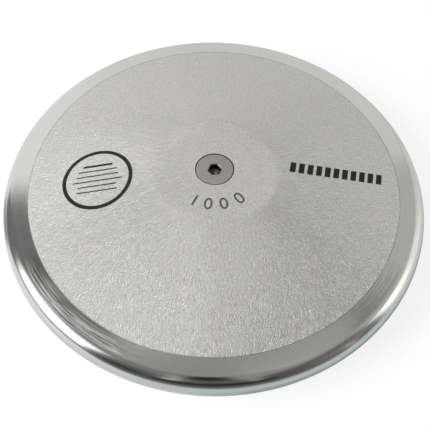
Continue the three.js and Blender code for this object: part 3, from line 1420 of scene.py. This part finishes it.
@dataclass
class Studio:
    """A white table and backdrop, and a tent round them with soft lamps and dark flags.

    Levels are brightness with white at one. Tinted ranges run from where a tint starts to where
    it is full, as shares of the way from the middle along an axis. The table's zones are painted
    light and shadow, which only polished metal sees.
    """

    floor_height: float
    rim_radius: float
    floor_size: float = 9.0
    floor_white: str = "#8c8c8c"
    floor_glow: float = 0.78
    floor_tint: str = "#e4faff"
    right_tint: str = "#fffffa"
    front_tinted: Point = (-0.2, -0.8)
    right_tinted: Point = (-0.6, 0.3)
    backdrop_level: float = 1.0
    fill_level: float = 0.5
    key_level: float = 0.95
    key_bearing: float = 205.0
    key_elevation: float = 35.0
    key_distance: float = 1.5
    key_size: float = 0.9
    tent_radius: float = 4.0
    tent_level: float = 0.36
    tent_columns: int = 72
    tent_rows: int = 36
    zones: Sequence[TentZone] = (
        TentZone("rear_ceiling", 96.0, 56.0, 28.0, 16.0, 14.0, 0.3),
        TentZone("right_zenith", 0.0, 76.0, 32.0, 14.0, 16.0, 0.5),
        TentZone("left_zenith", 226.0, 62.0, 22.0, 12.0, 14.0, 0.25),
        TentZone("right_dome", 51.0, 70.0, 31.0, 16.0, 6.0, 0.03, -1.0),
        TentZone("left_dome", 122.0, 66.0, 24.0, 12.0, 6.0, 2.6, 1.0),
        TentZone("upper_dome", 125.0, 73.0, 22.0, 5.0, 6.0, 7.0, 1.2),
        TentZone("right_ceiling", 22.0, 46.0, 30.0, 11.0, 8.0, 0.58),
        TentZone("right_wall", 18.0, 8.0, 33.0, 29.0, 8.0, 0.82),
        TentZone("right_wall_fold", 46.0, 33.0, 4.5, 9.0, 7.0, 0.58),
        TentZone("rear_wall", 95.0, 10.0, 44.0, 28.0, 4.0, 0.84),
        TentZone("rear_wall_left", 140.0, 12.0, 28.0, 40.0, 36.0, 1.07),
        TentZone("left_flag", 159.5, 20.0, 12.5, 34.0, 6.0, 0.2, -0.25),
        TentZone("left_flag_top", 146.5, 47.0, 9.5, 10.0, 5.0, 0.2),
        TentZone("left_softbox", 196.5, 31.0, 19.5, 20.0, 5.0, 2.4, 0.0, 20.0),
        TentZone("left_softbox_side", 178.5, 33.0, 8.5, 18.0, 8.0, 1.9, -0.4, 20.0),
        TentZone("front_flag", 281.0, 27.0, 63.0, 25.0, 18.0, 0.13),
        TentZone("front_right", 336.0, 26.0, 20.0, 16.0, 20.0, 0.24),
        TentZone("front_flag_core", 272.0, 25.0, 26.0, 8.0, 8.0, 0.03),
        TentZone("front_flag_left", 232.0, 25.0, 9.0, 7.0, 8.0, 0.05),
        TentZone("photographer", 268.5, 64.0, 15.0, 13.0, 5.0, 0.02),
        TentZone("front_gap", 253.0, 40.0, 2.8, 8.0, 4.0, 0.78, 0.25),
        TentZone("upper_gap", 251.2, 57.0, 2.6, 8.5, 4.0, 0.65, -0.3),
        TentZone("right_gap", 290.5, 50.0, 2.5, 18.0, 4.0, 0.42),
        TentZone("right_slit", 330.0, 15.0, 1.5, 12.0, 2.0, 0.6),
        TentZone("right_glow", 9.0, 12.0, 19.0, 25.0, 15.0, 1.12),
        TentZone("right_softbox", 359.0, 26.0, 10.0, 13.5, 11.0, 1.7),
    )
    table_level: float = 0.5
    # Painted light and shadow on the table: lighter on the lamp's side, shadow near the discus and under the
    # flag.
    table_light_and_shadow: Sequence[TentZone] = (
        TentZone("table_left_light", 180.0, -45.0, 60.0, 90.0, 60.0, 0.76),
        TentZone("table_right_light", 8.0, -5.0, 28.0, 10.0, 20.0, 0.66),
        TentZone("table_front_shadow", 315.0, -75.0, 42.0, 35.0, 30.0, 0.22),
        TentZone("table_left_shadow", 235.0, -75.0, 25.0, 35.0, 20.0, 0.55),
        TentZone("table_far_front_shade", 285.0, 2.0, 62.0, 6.0, 12.0, 0.15),
        TentZone("table_flag_shadow", 174.5, -14.0, 7.5, 20.0, 7.0, 0.12, -0.4),
    )

    def build(self) -> None:
        """Makes the world, the table, the tent and the lamp."""
        self._world()
        self._floor()
        self._tent()
        self._key_light()

    def _world(self) -> None:
        """Makes a white backdrop, a little dimmer as a lamp than it looks."""
        world = bpy.data.worlds.new("white_backdrop")
        bpy.context.scene.world = world
        world.use_nodes = True
        tree = world.node_tree
        tree.nodes.clear()
        levels = (shown_rays(tree), 0.0, 1.0, self.fill_level, self.backdrop_level)
        strength = add_node(tree, "ShaderNodeMapRange", levels)[0]
        inputs = {"Color": linear(WHITE), "Strength": strength}
        light = add_node(tree, "ShaderNodeBackground", inputs)[0]
        add_node(tree, "ShaderNodeOutputWorld", {"Surface": light})

    def _floor(self) -> None:
        """Makes the white table, which the lamps light and which glows enough to look white."""
        bpy.ops.object.select_all(action="DESELECT")
        bpy.ops.mesh.primitive_plane_add(size=self.floor_size, location=(0, 0, self.floor_height))
        floor = bpy.context.object
        floor.name = floor.data.name = "white_table"
        floor.data.materials.append(self._floor_material())

    def _floor_material(self) -> Material:
        """Makes card that polished metal mirrors with painted light and shadow in zones, pale blue to the
        front right.

        Returns:
            The material.
        """
        material = new_material("white_table_card")
        tree = material.node_tree
        place = RoundPlace(tree)
        bearing = add_node(tree, "ShaderNodeSeparateXYZ", (place.bearing,))
        azimuth = add_node(tree, "ShaderNodeMath", (bearing["Y"], bearing["X"]), operation="ARCTAN2")[0]
        away = add_node(tree, "ShaderNodeMath", (place.radius, self.rim_radius), operation="SUBTRACT")[0]
        elevation = add_node(tree, "ShaderNodeMath", (self.floor_height, away), operation="ARCTAN2")[0]
        # Painted light and shadow on the table, for glossy rays only.
        painted_table_light = painted(tree, azimuth, elevation, self.table_level, self.table_light_and_shadow)
        shown = add_node(tree, "ShaderNodeMapRange", (shown_rays(tree), 0.0, 1.0, 0.0, self.floor_glow))[0]
        mirror = add_node(tree, "ShaderNodeLightPath")["Is Glossy Ray"]
        glow = add_node(tree, "ShaderNodeMix", {0: mirror, 2: shown, 3: painted_table_light})[0]
        tinted = mirror
        for axis, limits in (("Y", self.front_tinted), ("X", self.right_tinted)):
            share = add_node(tree, "ShaderNodeMapRange", (bearing[axis], *limits, 0.0, 1.0))[0]
            tinted = add_node(tree, "ShaderNodeMath", (share, tinted), operation="MULTIPLY")[0]
        inputs = {"Color": layered(tree, WHITE, (tinted, self.floor_tint)), "Strength": glow}
        light = add_node(tree, "ShaderNodeEmission", inputs)[0]
        card = add_node(tree, "ShaderNodeBsdfDiffuse", {"Color": linear(self.floor_white)})[0]
        both = add_node(tree, "ShaderNodeAddShader", (card, light))[0]
        add_node(tree, "ShaderNodeOutputMaterial", {"Surface": both})
        material.cycles.emission_sampling = "NONE"
        return material

    def _tent(self) -> None:
        """Makes a half sphere that the camera doesn't see."""
        bpy.ops.object.select_all(action="DESELECT")
        bpy.ops.mesh.primitive_uv_sphere_add(
            segments=self.tent_columns, ring_count=self.tent_rows, radius=self.tent_radius, location=(0, 0, 0)
        )
        tent = bpy.context.object
        tent.name = tent.data.name = "light_tent"
        bpy.ops.object.mode_set(mode="EDIT")
        bpy.ops.mesh.select_all(action="DESELECT")
        bpy.ops.mesh.select_mode(type="FACE")
        mesh = bmesh.from_edit_mesh(tent.data)
        for face in mesh.faces:
            face.select_set(face.calc_center_median().z < 0)
        bmesh.update_edit_mesh(tent.data)
        bpy.ops.mesh.delete(type="FACE")
        bpy.ops.object.mode_set(mode="OBJECT")
        tent.data.materials.append(self._tent_material())
        tent.visible_camera = False

    def _tent_material(self) -> Material:
        """Makes glowing cloth whose level changes from zone to zone.

        Returns:
            The material.
        """
        material = new_material("light_tent_cloth")
        tree = material.node_tree
        place = add_node(tree, "ShaderNodeTexCoord")["Object"]
        unit = add_node(tree, "ShaderNodeVectorMath", (place,), operation="NORMALIZE")["Vector"]
        split = add_node(tree, "ShaderNodeSeparateXYZ", (unit,))
        azimuth = add_node(tree, "ShaderNodeMath", (split["Y"], split["X"]), operation="ARCTAN2")[0]
        elevation = add_node(tree, "ShaderNodeMath", (split["Z"],), operation="ARCSINE")[0]
        level = painted(tree, azimuth, elevation, self.tent_level, self.zones)
        diffuse = add_node(tree, "ShaderNodeLightPath")["Is Diffuse Ray"]
        strength = add_node(tree, "ShaderNodeMix", {0: diffuse, 2: level, 3: self.fill_level})[0]
        tinted = add_node(tree, "ShaderNodeMapRange", (split["X"], *self.right_tinted, 0.0, 1.0))[0]
        inputs = {"Color": layered(tree, WHITE, (tinted, self.right_tint)), "Strength": strength}
        light = add_node(tree, "ShaderNodeEmission", inputs)[0]
        add_node(tree, "ShaderNodeOutputMaterial", {"Surface": light})
        material.cycles.emission_sampling = "NONE"
        return material

    def _key_light(self) -> None:
        """Adds the left softbox as a lamp, which polished metal mirrors as part of the tent instead."""
        bearing, elevation = math.radians(self.key_bearing), math.radians(self.key_elevation)
        level = math.cos(elevation)
        toward = Vector((level * math.cos(bearing), level * math.sin(bearing), math.sin(elevation)))
        data = bpy.data.lights.new("left_softbox", "AREA")
        data.size = self.key_size
        data.energy = self.key_level * (math.pi * self.key_distance) ** 2
        lamp = bpy.data.objects.new("left_softbox", data)
        bpy.context.scene.collection.objects.link(lamp)
        lamp.location = toward * self.key_distance
        lamp.rotation_euler = toward.to_track_quat("Z", "Y").to_euler()
        lamp.visible_glossy = False
        lamp.visible_camera = False


@dataclass(frozen=True)
class ProductCamera:
    """The camera at the photograph's viewing angle; it looks along +Y and down."""

    elevation: float = 56.622
    distance: float = 327.1 * MM
    shift_right: float = 0.587 * MM
    shift_up: float = -8.927 * MM
    roll: float = 1.373
    lens: float = 62.85
    sensor_width: float = 36.0
    clip_start: float = 10 * MM

    def build(self) -> None:
        """Adds the camera and makes it the scene's own."""
        data = bpy.data.cameras.new("product_camera")
        data.lens = self.lens
        data.sensor_width = self.sensor_width
        data.clip_start = self.clip_start
        camera = bpy.data.objects.new("product_camera", data)
        bpy.context.scene.collection.objects.link(camera)
        tilt = Matrix.Rotation(math.radians(90 - self.elevation), 4, "X")
        place = Matrix.Translation((self.shift_right, self.shift_up, self.distance))
        camera.matrix_world = tilt @ place @ Matrix.Rotation(math.radians(self.roll), 4, "Z")
        bpy.context.scene.camera = camera


def main() -> None:
    """Builds the camera, the studio and every piece of the discus, and reports each piece."""
    logging.basicConfig(level=logging.INFO, format="%(name)s: %(message)s")
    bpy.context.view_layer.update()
    bpy.context.scene.view_settings.view_transform = "Standard"
    form = DiscusForm.from_frame()
    ProductCamera().build()
    Rim(form).build()
    plates = SidePlates(form).build()
    CentreScrews(form).build()
    Core(form).build()
    Prints(form, plates[Side.UPPER]).build()
    Studio(-form.half_thickness, form.outer_radius).build()


if __name__ == "__main__":
    main()
